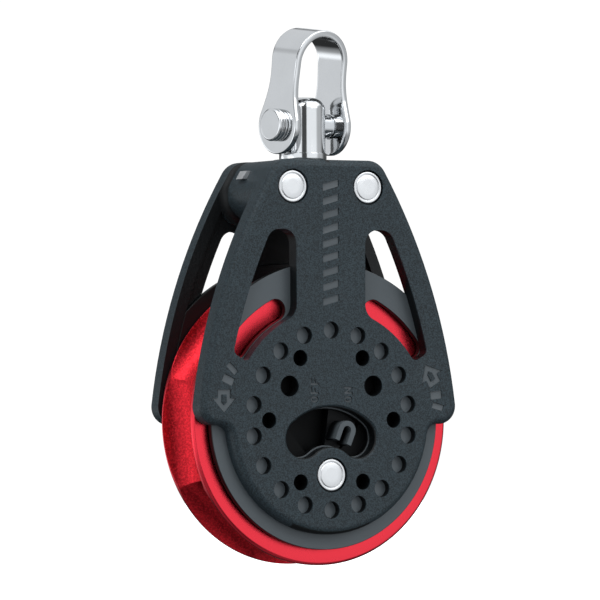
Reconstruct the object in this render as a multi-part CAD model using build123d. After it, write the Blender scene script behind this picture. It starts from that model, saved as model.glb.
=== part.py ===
from build123d import *

import math
import os

# A single ratchet block for 8 to 10 mm line, hung from a shackle on a swivelling post.
# Frame: origin at the sheave's centre on the middle plane, +Z up to the shackle,
# Y along the sheave's axle, the face with the ratchet switch on the -Y side.
# Front pieces are drawn as distances from the middle plane and mirrored for the rear.

# ---------------------------------------------------------------- driving sizes, mm
SHEAVE_RADIUS = 28.5
CHEEK_GAP = 0.5                 # between sheave and cheek
LINE_SPACE = 10.9               # from the sheave's rim to the head

FACETS = 8                      # flat sides of the line groove
FACET_TURN = 5.4                # degrees, where the first facet sits
GROOVE_RADIUS = 5.9             # line groove, across the sheave
GROOVE_DEPTH = 5.1
RIM_CHAMFER = 0.45
SIDE_RECESS_DEPTH = 0.6
SIDE_RECESS_RIM = 6.6           # flange left full outside the side recess
SIDE_RECESS_HUB = 1.2

BALL_RADIUS = 2.0
BALL_COUNT = 22
BALL_PITCH_RADIUS = 18.0
BALL_SHOULDER = 0.4             # between each ball row and the ratchet ring
RACE_LIP = 0.2                  # sheave left outside each ball row
BALL_PLAY = 0.05                # between ball and race
POCKET_PLAY = 0.08              # between ball and cage
CAGE_WALL = 2.1
CAGE_SHORT = 0.5                # cage fingers stop short of the balls' inner side
CAGE_LIP = 0.3                  # cage outside the balls
BEARING_SPACE = 2.8             # between hub and sheave

RATCHET_TEETH = 24
RATCHET_TIP_INSET = 2.3         # tooth crests inside the sheave's bore
RATCHET_ROOT_INSET = 1.0
RATCHET_WIDTH = 4.0
RATCHET_FACE_TURN = 0.3         # degrees, slope of a tooth's steep side
RATCHET_CREST_TURN = 2.5        # degrees, from a tooth's root to the end of its crest

CHEEK_DEPTH = 4.0               # rim of a cheek, front to back
CHEEK_FACE = 2.7                # wall behind the front face
CHEEK_FILLET = 1.5
DISC_INSET = 3.0                # round lower end of a cheek, inside the guard's edge
HEAD_HALF_WIDTH = 11.5
WAIST_INSET = 5.66              # cheek inside the sheave's radius at the waist
WAIST_HEIGHT = 27.87
SHOULDER_PROUD = 0.7            # cheek outside the sheave's radius at the shoulder
SHOULDER_BASE = -0.9
HEAD_CORNER = 4.2
SHOULDER_CORNER = 3.6
SADDLE_RADIUS = 2.4             # where a shoulder runs into the disc
RIM_WALL = 2.3                  # raised edge round a cheek's inner side
WEB_RECESS = 0.9

BOSS_HEIGHT = 11.6              # head, from its underside to its top
BOSS_INSET = 1.0
BOSS_CORNER = 5.0
BOSS_ROOT = 1.5                 # fillet from the boss to the cheek

WINDOW_BAND = 5.1               # cheek left outside a window
WINDOW_INNER = 7.7
WINDOW_BELOW_TOP = 13.7
WINDOW_CORNER = 2.9
WINDOW_HEEL = 3.2               # corner beside the disc
WINDOW_TOE = 1.3                # lowest corner
WINDOW_FOOT_ANGLE = 31.0        # degrees, lower end of a window
WINDOW_FOOT_INSET = 0.5

GUARD_INSET = 3.1               # guard inside the sheave's rim
GUARD_CROWN_PROUD = 2.5         # upper edge of the guard, outside the sheave's rim
GUARD_SLOT_PROUD = 1.75         # middle of the guard's slots, outside the disc
GUARD_SLOT_WIDTH = 4.2
GUARD_SLOT_FROM = 36.0          # degrees
GUARD_SLOT_SWEEP = 27.0
GUARD_PLAY = 0.1
GUARD_WINDOW_STEP = 0.35        # guard seen round the switch's window

DRAIN_COUNT = 18
DRAIN_INSET = 4.8               # drain holes inside the disc's edge
DRAIN_RADIUS = 1.7
DRAIN_DEPTH = 1.7               # blind, from the cheek's face
PEEP_COUNT = 6
PEEP_CIRCLE = 14.0
PEEP_START = 0.0                # degrees, first hole from the X axis
PEEP_RADIUS = 1.6
DOWEL_CIRCLE = 11.53
DOWEL_ANGLE = 35.3              # degrees above the X axis
DOWEL_RADIUS = 2.0
DOWEL_PLAY = 0.06
DOWEL_RECESS = 3.4              # dowel end below the cheek's face

HUB_RIVET_DROP = 10.74          # hub rivet below the sheave's centre
HUB_RIVET_RADIUS = 2.2
HEAD_RIVET_REACH = 8.45
HEAD_RIVET_BELOW_TOP = 5.34
HEAD_RIVET_RADIUS = 1.5
RIVET_HEAD_RADIUS = 3.15
RIVET_HEAD_HEIGHT = 0.95
RIVET_BRIM = 0.6                # flat ring round the dome
RIVET_DOME = 0.15
RIVET_SINK = 0.05               # rivet head below the cheek's face
RIVET_GAP = 0.28                # round a rivet head
SHANK_PLAY = 0.05

SWITCH_RING = 9.4               # middle of the switch's window, from the hub rivet
SWITCH_WINDOW_WIDTH = 7.8
SWITCH_WINDOW_HALF_ANGLE = 40.5
SWITCH_BEVEL = 0.5
SWITCH_ON_ANGLE = 22.5          # degrees from upright
SWITCH_ARM_HALF_ANGLE = 15.0
SWITCH_ARM_REACH = 13.0
SWITCH_ARM_THICKNESS = 2.0
SWITCH_BOSS_RADIUS = 4.4
SWITCH_CAM_REACH = 5.6
SWITCH_CAM_HEIGHT = 3.0
SWITCH_SPARE_TURN = 3.0         # degrees of room past the lever's travel
SWITCH_PLAY = 0.3
SWITCH_BORE_PLAY = 0.08
GRIP_RADIUS = 1.9
GRIP_WALL = 1.0
GRIP_LEG = 2.5
GRIP_BELOW_FACE = 0.2

PAWL_INSET = 3.9                # pawl pins inside the tooth crests
PAWL_ANGLES = {"right": -40.0, "left": 200.0}
PAWL_TIP_TURN = 22.0            # degrees from pin to tip
PAWL_TIP_PLAY = 0.25
PAWL_HUB_RADIUS = 2.1
PAWL_TAIL = 3.0
PAWL_TAIL_HEIGHT = 1.8
PAWL_EDGE_LENGTH = 1.6          # bevel behind a pawl's tip
PAWL_EDGE_HEIGHT = 1.3
PAWL_THICKNESS = 3.2
PAWL_THROW = 14.0               # degrees, from riding on the teeth to let go
PAWL_PLAY = 0.35
PAWL_SIDE_PLAY = 0.1
PAWL_PIN_RADIUS = 1.0
PAWL_PIN_LENGTH = 10.0
PAWL_BORE_PLAY = 0.06
SPRING_WIRE = 0.5
SPRING_RADIUS = 1.6
SPRING_PITCH = 0.6
SPRING_TURNS = 2.5
SPRING_PLAY = 0.1

POST_RADIUS = 4.45
POST_COLLAR_RADIUS = 4.7
POST_COLLAR_HEIGHT = 1.3
POST_COLLAR_GAP = 0.3           # collar above the head
POST_COLLAR_CHAMFER = 0.25
POST_ABOVE_PIN = 5.5
POST_CROWN = 2.4
POST_SHANK_RADIUS = 3.3
POST_FLANGE_RADIUS = 5.5
POST_FLANGE_HEIGHT = 2.2
POST_FLANGE_BELOW_TOP = 9.6
POST_PLAY = 0.3
WASHER_HEIGHT = 0.8
WASHER_PLAY = 0.02

CLIP_THICKNESS = 1.6
CLIP_WIDTH = 2.6
CLIP_BELOW_TOP = 3.6
CLIP_INNER_END = 4.2
CLIP_PLAY = 0.08

PIN_ABOVE_HEAD = 7.1
PIN_RADIUS = 2.35
PIN_PLAY = 0.05
PIN_HEAD_RADIUS = 3.25
PIN_HEAD_HEIGHT = 1.8
PIN_HEAD_GROOVE = 0.3
PIN_HEAD_BEVEL = 0.35
PIN_END_BEVEL = 0.4
PIN_TAIL = 0.4                  # pin end past the threaded leg
SHACKLE_HALF_WIDTH = 7.2        # outside, at the eyes
SHACKLE_BOW_RADIUS = 6.6
SHACKLE_THICKNESS = 1.35
SHACKLE_RISE = 19.2             # pin axis to the top of the bow
SHACKLE_EYE_RADIUS = 5.75
SHACKLE_EYE_TURN = 20.0         # degrees above the pin, where the waist leaves the eye
SHACKLE_WAIST = 3.75
SHACKLE_WAIST_HEIGHT = 9.5
SHACKLE_BOW_HALF_WIDTH = 4.2
SHACKLE_SIDE_PLAY = 0.55        # the shackle sits over to one side of the post
SWIVEL_ANGLE = 10.5             # degrees, how far the post is swivelled
SHACKLE_LEAN = 7.0              # degrees, tilt of the shackle about its pin

MARK_PROUD = 1.9                # flow arrows outside the disc's edge
ARROW_HALF_WIDTH = 2.65
ARROW_LENGTH = 2.9
ARROW_SHAFT_WIDTH = 2.9
ARROW_SHAFT_LENGTH = 1.65
ARROW_EYE_HALF_WIDTH = 0.5
ARROW_EYE_LENGTH = 2.0
ARROW_TURN = 14.1               # degrees from the first bar to the arrow
ARROW_LEAN = 10.0               # degrees inwards from the circle
BAR_WIDTH = 2.6
FIRST_BAR = (1.2, 0.0, -20.0)   # length, place and lean in degrees
SECOND_BAR = (1.6, 5.5, -5.0)
MARK_DEPTH = 0.25
MARK_STARTS = (6.0, 155.5)      # degrees, first bar of each flow arrow
RELIEF_BARS = 9
RELIEF_PROUD = 0.6              # lowest bar above the disc's edge
RELIEF_BELOW_TOP = 5.5
RELIEF_HALF_WIDTH = 1.8
RELIEF_FILL = 0.5               # share of each pitch that is bar
RELIEF_SLANT = 0.35             # rise of a bar, as a share of the pitch
LABEL_HEIGHT = 5.8              # middle of the switch labels
LABEL_REACH = 3.8
LABEL_STROKE = 0.38
LETTER_HALF_HEIGHT = 0.75
LETTER_HALF_WIDTH = 0.5
LETTER_STEP = 1.75

# ---------------------------------------------------------------- derived places
BALL_ROW = RATCHET_WIDTH / 2 + BALL_SHOULDER + BALL_RADIUS
SHEAVE_SIDE = BALL_ROW + BALL_RADIUS + RACE_LIP
CHEEK_INNER = SHEAVE_SIDE + CHEEK_GAP
HALF_WIDTH = CHEEK_INNER + CHEEK_DEPTH
GUARD_FACE = HALF_WIDTH - CHEEK_FACE

HUB_RADIUS = BALL_PITCH_RADIUS - BEARING_SPACE / 2
SHEAVE_BORE_RADIUS = BALL_PITCH_RADIUS + BEARING_SPACE / 2
RATCHET_TIP_RADIUS = SHEAVE_BORE_RADIUS - RATCHET_TIP_INSET
RATCHET_ROOT_RADIUS = SHEAVE_BORE_RADIUS - RATCHET_ROOT_INSET
PAWL_CIRCLE = RATCHET_TIP_RADIUS - PAWL_INSET
PAWL_TIP_RADIUS = RATCHET_TIP_RADIUS - PAWL_TIP_PLAY
PAWL_CAVITY = RATCHET_WIDTH / 2 - PAWL_SIDE_PLAY
SPRING_RECESS = PAWL_CAVITY + SPRING_PITCH * SPRING_TURNS + SPRING_WIRE + 2 * SPRING_PLAY
SWITCH_FLOOR = CHEEK_INNER - SWITCH_ARM_THICKNESS - 2 * SWITCH_PLAY

GUARD_RADIUS = SHEAVE_RADIUS - GUARD_INSET
GUARD_CROWN_RADIUS = SHEAVE_RADIUS + GUARD_CROWN_PROUD
DISC_RADIUS = GUARD_RADIUS - DISC_INSET
GUARD_SLOT_RADIUS = DISC_RADIUS + GUARD_SLOT_PROUD
DRAIN_CIRCLE = DISC_RADIUS - DRAIN_INSET
WAIST_HALF_WIDTH = SHEAVE_RADIUS - WAIST_INSET
SHOULDER_HALF_WIDTH = SHEAVE_RADIUS + SHOULDER_PROUD

BOSS_FLOOR = SHEAVE_RADIUS + LINE_SPACE
HEAD_TOP = BOSS_FLOOR + BOSS_HEIGHT
WINDOW_TOP = HEAD_TOP - WINDOW_BELOW_TOP
HEAD_RIVET_HEIGHT = HEAD_TOP - HEAD_RIVET_BELOW_TOP
POST_FLANGE_FLOOR = HEAD_TOP - POST_FLANGE_BELOW_TOP
HEAD_BEARING = POST_FLANGE_FLOOR + POST_FLANGE_HEIGHT + WASHER_HEIGHT
CLIP_HEIGHT = HEAD_TOP - CLIP_BELOW_TOP
PIN_HEIGHT = HEAD_TOP + PIN_ABOVE_HEAD
POST_TOP = PIN_HEIGHT + POST_ABOVE_PIN

MARK_RADIUS = DISC_RADIUS + MARK_PROUD
RELIEF_FROM = DISC_RADIUS + RELIEF_PROUD
RELIEF_TO = HEAD_TOP - RELIEF_BELOW_TOP
FAR = 80.0                      # larger than the block, for cutting tools


def slab(profile, inner, outer):
    """A plate on the front side between two distances from the middle plane."""
    return extrude(Plane.XZ.offset(inner) * profile, amount=outer - inner)


def at_angle(radius, degrees):
    """A point of the front view on a circle round the sheave's axis."""
    turn = math.radians(degrees)
    return (radius * math.cos(turn), radius * math.sin(turn))


def ring_of(shape, radius, count, start):
    """Copies of a front-view shape, evenly spaced on a circle."""
    spots = [at_angle(radius, start + 360 / count * i) for i in range(count)]
    return Sketch() + [Pos(*spot) * shape for spot in spots]


def both_sides(profile):
    """A front-view shape with its mirror image across the middle of the block."""
    return profile + mirror(profile, about=Plane.YZ)


def annulus(outer, inner):
    return Circle(outer) - Circle(inner)


# ---------------------------------------------------------------- front-view outlines
def shell_outline():
    """Tapering head over a round disc, with rounded shoulders."""
    head_corner = (HEAD_HALF_WIDTH, HEAD_TOP)
    shoulder = (SHOULDER_HALF_WIDTH, SHOULDER_BASE)
    side = ThreePointArc(head_corner, (WAIST_HALF_WIDTH, WAIST_HEIGHT), shoulder)
    top = Line((-HEAD_HALF_WIDTH, HEAD_TOP), head_corner)
    base = Line(shoulder, (-SHOULDER_HALF_WIDTH, SHOULDER_BASE))
    upper = make_face([top, side, base, mirror(side, about=Plane.YZ)])
    levels = upper.vertices().group_by(Axis.Y)
    upper = fillet(levels[-1], HEAD_CORNER)
    upper = fillet(upper.vertices().group_by(Axis.Y)[0], SHOULDER_CORNER)
    whole = Sketch() + upper + Circle(DISC_RADIUS)
    meet = math.sqrt(DISC_RADIUS**2 - SHOULDER_BASE**2)
    saddles = [v for v in whole.vertices() if abs(abs(v.X) - meet) < 0.01 and v.Y < 0]
    return fillet(saddles, SADDLE_RADIUS)


def guard_crown(outline):
    """The part of the guard that fills the lower part of the windows."""
    upper = Pos(0, FAR / 2) * Rectangle(FAR, FAR)
    return Circle(GUARD_CROWN_RADIUS) & offset(outline, amount=-RIM_WALL) & upper


def guard_outline(outline):
    """Round guard with its crown."""
    return Circle(GUARD_RADIUS) + guard_crown(outline)


def windows(outline):
    """The pair of openings beside the head, above the disc."""
    height = WINDOW_TOP - DISC_RADIUS / 2
    strip = Pos(WINDOW_INNER + FAR / 2, WINDOW_TOP - height / 2) * Rectangle(FAR, height)
    pane = offset(outline, amount=-WINDOW_BAND) & strip
    foot = Rot(0, 0, WINDOW_FOOT_ANGLE) * Pos(FAR / 2, -FAR / 2) * Rectangle(FAR, FAR)
    pane = pane - Circle(DISC_RADIUS - WINDOW_FOOT_INSET) - foot
    corners = pane.vertices().sort_by(Axis.Y)
    across = min(corner.X for corner in corners)
    heel = [corner for corner in corners[:-2] if corner.X < across + 0.01]
    toe = [corner for corner in corners[:-2] if corner.X > across + 0.01]
    pane = fillet(heel, WINDOW_HEEL)
    spots = [(corner.X, corner.Y) for corner in toe]
    low = [v for v in pane.vertices() if any(math.dist((v.X, v.Y), spot) < 0.01 for spot in spots)]
    pane = fillet(low, WINDOW_TOE)
    pane = fillet(pane.vertices().group_by(Axis.Y)[-1], WINDOW_CORNER)
    return both_sides(pane)


def switch_window(grow=0.0):
    """Kidney-shaped opening, concentric with the hub rivet."""
    half = SWITCH_WINDOW_HALF_ANGLE
    spine = CenterArc((0, -HUB_RIVET_DROP), SWITCH_RING, 90 - half, 2 * half)
    return SlotArc(spine, SWITCH_WINDOW_WIDTH + 2 * grow)


def peeps():
    return ring_of(Circle(PEEP_RADIUS), PEEP_CIRCLE, PEEP_COUNT, PEEP_START)


def dowel_circles(radius):
    return both_sides(Pos(*at_angle(DOWEL_CIRCLE, DOWEL_ANGLE)) * Circle(radius))


def hub_rivet_circle(radius):
    return Pos(0, -HUB_RIVET_DROP) * Circle(radius)


def head_rivet_circles(radius):
    return both_sides(Pos(HEAD_RIVET_REACH, HEAD_RIVET_HEIGHT) * Circle(radius))


# ---------------------------------------------------------------- relief on the front face
def flow_arrow():
    """Arrow head with a short shaft, pointing along +Y, with an eye left standing."""
    wide = ARROW_HALF_WIDTH
    head = Polygon((-wide, 0), (wide, 0), (0, ARROW_LENGTH), align=None)
    shaft = Pos(0, -ARROW_SHAFT_LENGTH / 2) * Rectangle(ARROW_SHAFT_WIDTH, ARROW_SHAFT_LENGTH)
    side, low = ARROW_EYE_HALF_WIDTH, -ARROW_EYE_LENGTH / 3
    top = low + ARROW_EYE_LENGTH
    corners = ((-side, low), (side, low), (side, top - side), (0, top), (-side, top - side))
    return head + shaft - Polygon(*corners, align=None)


def flow_mark(start):
    """Two bars and an arrow that follow the way the sheave runs free."""
    steps = [(flow_arrow(), ARROW_TURN, ARROW_LEAN)]
    for length, turn, lean in (FIRST_BAR, SECOND_BAR):
        steps.append((Rectangle(BAR_WIDTH, length), turn, lean))
    return Sketch() + [
        Rot(0, 0, start + turn) * Pos(MARK_RADIUS, 0) * Rot(0, 0, lean) * shape
        for shape, turn, lean in steps
    ]


def relief_column():
    """A plain column of slanted bars up the middle of the cheek."""
    pitch = (RELIEF_TO - RELIEF_FROM) / (RELIEF_BARS - 1)
    tall = pitch * RELIEF_FILL / 2
    rise = pitch * RELIEF_SLANT
    reach = RELIEF_HALF_WIDTH
    corners = ((-reach, -tall), (reach, rise - tall), (reach, rise + tall), (-reach, tall))
    bar = Polygon(*corners, align=None)
    return Sketch() + [Pos(0, RELIEF_FROM + pitch * i) * bar for i in range(RELIEF_BARS)]


def stroke(start, end):
    """One straight pen stroke with round ends."""
    run = Vector(*end) - Vector(*start)
    middle = (Vector(*start) + Vector(*end)) / 2
    turn = math.degrees(math.atan2(run.Y, run.X))
    line = SlotCenterToCenter(run.length, LABEL_STROKE)
    return Pos(middle.X, middle.Y) * Rot(0, 0, turn) * line


def letter(strokes):
    return Sketch() + [stroke(*ends) for ends in strokes]


def labels():
    """The words ON and OFF beside the switch, read from below upwards."""
    across, up = LETTER_HALF_WIDTH, LETTER_HALF_HEIGHT
    oval = (across + LABEL_STROKE / 3, up + LABEL_STROKE / 3)
    oh = Ellipse(*oval) - Ellipse(oval[0] - LABEL_STROKE, oval[1] - LABEL_STROKE)
    stem = ((-across, -up), (-across, up))
    en = letter((stem, ((-across, up), (across, -up)), ((across, -up), (across, up))))
    ef = letter((stem, ((-across, up), (across, up)), ((-across, 0), (across / 2, 0))))
    on = oh + Pos(LETTER_STEP, 0) * en
    off = oh + Pos(LETTER_STEP, 0) * ef + Pos(2 * LETTER_STEP, 0) * ef
    upright = Rot(0, 0, 90)
    left = Pos(-LABEL_REACH, LABEL_HEIGHT - LETTER_STEP) * upright * off
    right = Pos(LABEL_REACH, LABEL_HEIGHT - LETTER_STEP) * upright * on
    return left + right


def relief(cheek):
    """Sinks the marks and the labels' pen strokes a little into the face."""
    marks = Sketch() + [flow_mark(start) for start in MARK_STARTS]
    marks += relief_column() + labels()
    return cheek - slab(marks, HALF_WIDTH - MARK_DEPTH, HALF_WIDTH)


# ---------------------------------------------------------------- head cavities
def rod(radius, low, high):
    """An upright cylinder on the swivel axis."""
    return Pos(0, 0, (low + high) / 2) * Cylinder(radius, high - low)


def head_cavity():
    """Room in the head for the post's shank, flange and washer."""
    flange = rod(POST_FLANGE_RADIUS + POST_PLAY, POST_FLANGE_FLOOR - POST_PLAY, HEAD_BEARING)
    return flange + rod(POST_SHANK_RADIUS + POST_PLAY, HEAD_BEARING, HEAD_TOP + 1)


def clip_bar(play):
    """The lock clip's bar, from the head's side to just short of the post."""
    outer = -HEAD_HALF_WIDTH - HEAD_CORNER
    length = -CLIP_INNER_END - outer
    bar = Box(length + 2 * play, CLIP_WIDTH + 2 * play, CLIP_THICKNESS + 2 * play)
    middle = (outer - CLIP_INNER_END) / 2
    return Pos(middle, CLIP_WIDTH / 2, CLIP_HEIGHT + CLIP_THICKNESS / 2) * bar


def boss_profile(outline):
    """Front view of the head's thick part, drawn in from the cheek's sides."""
    room = Pos(0, BOSS_FLOOR + FAR / 2) * Rectangle(FAR, FAR)
    profile = (Pos(-BOSS_INSET, 0) * outline) & (Pos(BOSS_INSET, 0) * outline) & room
    return fillet(profile.vertices().group_by(Axis.Y)[0], BOSS_CORNER)


def head_boss(outline):
    """The head's thick part with its rounded root, on the front side."""
    plate = slab(Rectangle(4 * FAR, 4 * FAR), CHEEK_INNER, HALF_WIDTH)
    block = plate + slab(boss_profile(outline), 0, CHEEK_INNER)
    seat = block.faces().filter_by(lambda face: abs(face.center().Y + CHEEK_INNER) < 0.01)[0]
    block = fillet(seat.inner_wires()[0].edges(), BOSS_ROOT)
    return block & slab(outline, 0, CHEEK_INNER)


# ---------------------------------------------------------------- cheeks and guards
def cheek_blank(outline):
    """The moulded shell that both cheeks start from, on the front side."""
    body = slab(outline, CHEEK_INNER, HALF_WIDTH)
    body = fillet(body.faces().sort_by(Axis.Y)[0].outer_wire().edges(), CHEEK_FILLET)
    web = offset(outline, amount=-RIM_WALL) & (Pos(0, FAR / 2) * Rectangle(FAR, FAR))
    web -= offset(boss_profile(outline), amount=BOSS_ROOT)
    body -= slab(web, CHEEK_INNER, CHEEK_INNER + WEB_RECESS)
    body += head_boss(outline)
    seat = offset(guard_outline(outline), amount=GUARD_PLAY)
    body -= slab(seat, 0, GUARD_FACE)
    return body


def cheek_cuts(outline):
    """Every opening through a cheek's face."""
    drains = ring_of(Circle(DRAIN_RADIUS), DRAIN_CIRCLE, DRAIN_COUNT, 90)
    through = windows(outline) + peeps() + dowel_circles(DOWEL_RADIUS + DOWEL_PLAY)
    through += hub_rivet_circle(HUB_RIVET_RADIUS + SHANK_PLAY)
    cuts = slab(through, CHEEK_INNER - 1, HALF_WIDTH)
    cuts += slab(drains, HALF_WIDTH - DRAIN_DEPTH, HALF_WIDTH)
    cuts += slab(head_rivet_circles(HEAD_RIVET_RADIUS + SHANK_PLAY), 0, HALF_WIDTH)
    heads = hub_rivet_circle(RIVET_HEAD_RADIUS + RIVET_GAP)
    heads += head_rivet_circles(RIVET_HEAD_RADIUS + RIVET_GAP)
    sink = HALF_WIDTH - RIVET_SINK - RIVET_HEAD_HEIGHT
    return cuts + slab(heads, sink, HALF_WIDTH)


def cheek(outline):
    """One cheek with its windows, holes and post cavity, on the front side."""
    return cheek_blank(outline) - cheek_cuts(outline) - head_cavity()


def front_cheek(outline):
    """The cheek with the switch's window and the marks."""
    body = cheek(outline) - slab(switch_window(), CHEEK_INNER, HALF_WIDTH)
    rim = Plane.XZ.offset(HALF_WIDTH) * switch_window(SWITCH_BEVEL)
    body -= extrude(rim, amount=-SWITCH_BEVEL, taper=45)
    return relief(body)


def rear_cheek(outline):
    """The plain cheek, with the lock clip's slot in its half of the head."""
    return mirror(cheek(outline), about=Plane.XZ) - clip_bar(CLIP_PLAY)


def guard(outline):
    """Smooth plate between cheek and sheave, with two slots in its crown."""
    spine = CenterArc((0, 0), GUARD_SLOT_RADIUS, GUARD_SLOT_FROM, GUARD_SLOT_SWEEP)
    slot = SlotArc(spine, GUARD_SLOT_WIDTH)
    holes = both_sides(slot) + peeps() + dowel_circles(DOWEL_RADIUS + DOWEL_PLAY)
    holes += hub_rivet_circle(HUB_RIVET_RADIUS + SHANK_PLAY)
    return slab(guard_outline(outline) - holes, CHEEK_INNER, GUARD_FACE)


def front_guard(outline):
    return guard(outline) - slab(switch_window(-GUARD_WINDOW_STEP), CHEEK_INNER, GUARD_FACE)


# ---------------------------------------------------------------- sheave and bearing
def sheave():
    """Red wheel: an eight-sided line groove outside, two ball races inside."""
    body = Rot(90, 0, 0) * Cylinder(SHEAVE_RADIUS, 2 * SHEAVE_SIDE)
    body = chamfer(body.edges(), RIM_CHAMFER)
    reach = SHEAVE_RADIUS - GROOVE_DEPTH + GROOVE_RADIUS
    for i in range(FACETS):
        turn = Rot(0, 360 / FACETS * i - FACET_TURN, 0)
        body -= turn * Pos(reach, 0, 0) * Cylinder(GROOVE_RADIUS, FAR)
    recess = annulus(SHEAVE_RADIUS - SIDE_RECESS_RIM, SHEAVE_BORE_RADIUS + SIDE_RECESS_HUB)
    side = slab(recess, SHEAVE_SIDE - SIDE_RECESS_DEPTH, SHEAVE_SIDE)
    body -= side + mirror(side, about=Plane.XZ)
    body -= Rot(90, 0, 0) * Cylinder(SHEAVE_BORE_RADIUS, 2 * SHEAVE_SIDE)
    return body - races()


def races():
    """The two ball tracks as cutting tools."""
    track = Rot(90, 0, 0) * Torus(BALL_PITCH_RADIUS, BALL_RADIUS + BALL_PLAY)
    return Pos(0, -BALL_ROW, 0) * track + Pos(0, BALL_ROW, 0) * track


def ratchet_ring():
    """Internal saw teeth that stop the sheave running back over the pawls."""
    step = 360 / RATCHET_TEETH
    points = []
    for i in range(RATCHET_TEETH):
        points.append(at_angle(RATCHET_ROOT_RADIUS, i * step))
        points.append(at_angle(RATCHET_TIP_RADIUS, i * step + RATCHET_FACE_TURN))
        points.append(at_angle(RATCHET_TIP_RADIUS, i * step + RATCHET_CREST_TURN))
    teeth = Polygon(*points, align=None)
    ring = Circle(SHEAVE_BORE_RADIUS) - teeth
    return slab(ring, -RATCHET_WIDTH / 2, RATCHET_WIDTH / 2)


def ball_row():
    """The front row of bearing balls, as separate solids."""
    spots = [at_angle(BALL_PITCH_RADIUS, 360 / BALL_COUNT * i) for i in range(BALL_COUNT)]
    return [Pos(x, -BALL_ROW, z) * Sphere(BALL_RADIUS) for x, z in spots]


def ball_cage():
    """Comb-shaped ring that spaces the front row of balls."""
    half = CAGE_WALL / 2
    ring = annulus(BALL_PITCH_RADIUS + half, BALL_PITCH_RADIUS - half)
    body = slab(ring, BALL_ROW - BALL_RADIUS + CAGE_SHORT, BALL_ROW + BALL_RADIUS + CAGE_LIP)
    hole = Rot(0, 90, 0) * Cylinder(BALL_RADIUS + POCKET_PLAY, 3 * CAGE_WALL)
    pocket = Pos(BALL_PITCH_RADIUS, -BALL_ROW, 0) * hole
    for i in range(BALL_COUNT):
        body -= Rot(0, -360 / BALL_COUNT * i, 0) * pocket
    return body


# ---------------------------------------------------------------- hub, switch and pawls
def pawl_profile(side):
    """Front view of a pawl: round hub, tapering nose and a short tail."""
    hub = Vector(*at_angle(PAWL_CIRCLE, PAWL_ANGLES[side]))
    tip = Vector(*at_angle(PAWL_TIP_RADIUS, PAWL_ANGLES[side] + PAWL_TIP_TURN))
    length = (tip - hub).length
    turn = math.degrees(math.atan2((tip - hub).Y, (tip - hub).X))
    shoulder = (length - PAWL_EDGE_LENGTH, PAWL_EDGE_HEIGHT)
    nose = Polygon((0, -PAWL_HUB_RADIUS), (length, 0), shoulder, (0, PAWL_HUB_RADIUS), align=None)
    tail = Pos(-PAWL_TAIL / 2, 0) * Rectangle(PAWL_TAIL, PAWL_TAIL_HEIGHT)
    shape = Circle(PAWL_HUB_RADIUS) + nose + tail
    return Pos(hub.X, hub.Y) * Rot(0, 0, turn) * shape


def pawl_pocket(side):
    """Everything a pawl sweeps from riding on the teeth to let go."""
    hub = Pos(*at_angle(PAWL_CIRCLE, PAWL_ANGLES[side]))
    shape = offset(hub.inverse() * pawl_profile(side), amount=PAWL_PLAY)
    turns = [PAWL_THROW * step / 4 for step in range(-1, 6)]
    return Sketch() + [hub * Rot(0, 0, turn) * shape for turn in turns]


def pawl(side):
    x, z = at_angle(PAWL_CIRCLE, PAWL_ANGLES[side])
    bore = Pos(x, z) * Circle(PAWL_PIN_RADIUS + PAWL_BORE_PLAY)
    return slab(pawl_profile(side) - bore, -PAWL_THICKNESS / 2, PAWL_THICKNESS / 2)


def pawl_pin(side):
    x, z = at_angle(PAWL_CIRCLE, PAWL_ANGLES[side])
    return slab(Pos(x, z) * Circle(PAWL_PIN_RADIUS), -PAWL_PIN_LENGTH / 2, PAWL_PIN_LENGTH / 2)


def pawl_spring(side):
    """Coil round the pawl's pin, in its recess in the front hub."""
    x, z = at_angle(PAWL_CIRCLE, PAWL_ANGLES[side])
    path = Helix(SPRING_PITCH, SPRING_PITCH * SPRING_TURNS, SPRING_RADIUS)
    wire = Plane(path @ 0, z_dir=path % 0) * Circle(SPRING_WIRE / 2)
    coil = sweep(wire, path)
    start = PAWL_CAVITY + SPRING_WIRE / 2 + SPRING_PLAY
    return Pos(x, -start, z) * Rot(90, 0, 0) * coil


def switch_sector(half_angle, reach):
    """A fan about the hub rivet's axis, upright."""
    side = math.radians(half_angle)
    left = (-reach * math.sin(side), reach * math.cos(side))
    right = (reach * math.sin(side), reach * math.cos(side))
    edge = ThreePointArc(left, (0, reach), right)
    face = make_face([Line((0, 0), left), edge, Line(right, (0, 0))])
    return Pos(0, -HUB_RIVET_DROP) * face


def switch_at(shape):
    """Turns a shape drawn about an upright switch to the ON side."""
    return Pos(0, -HUB_RIVET_DROP) * Rot(0, 0, -SWITCH_ON_ANGLE) * Pos(0, HUB_RIVET_DROP) * shape


def cam_profile():
    """Two lobes on the switch's boss that meet the pawls' tails."""
    lobes = Rectangle(2 * SWITCH_CAM_REACH, SWITCH_CAM_HEIGHT) & Circle(SWITCH_CAM_REACH)
    return Pos(0, -HUB_RIVET_DROP) * (lobes + Circle(SWITCH_BOSS_RADIUS))


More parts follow.
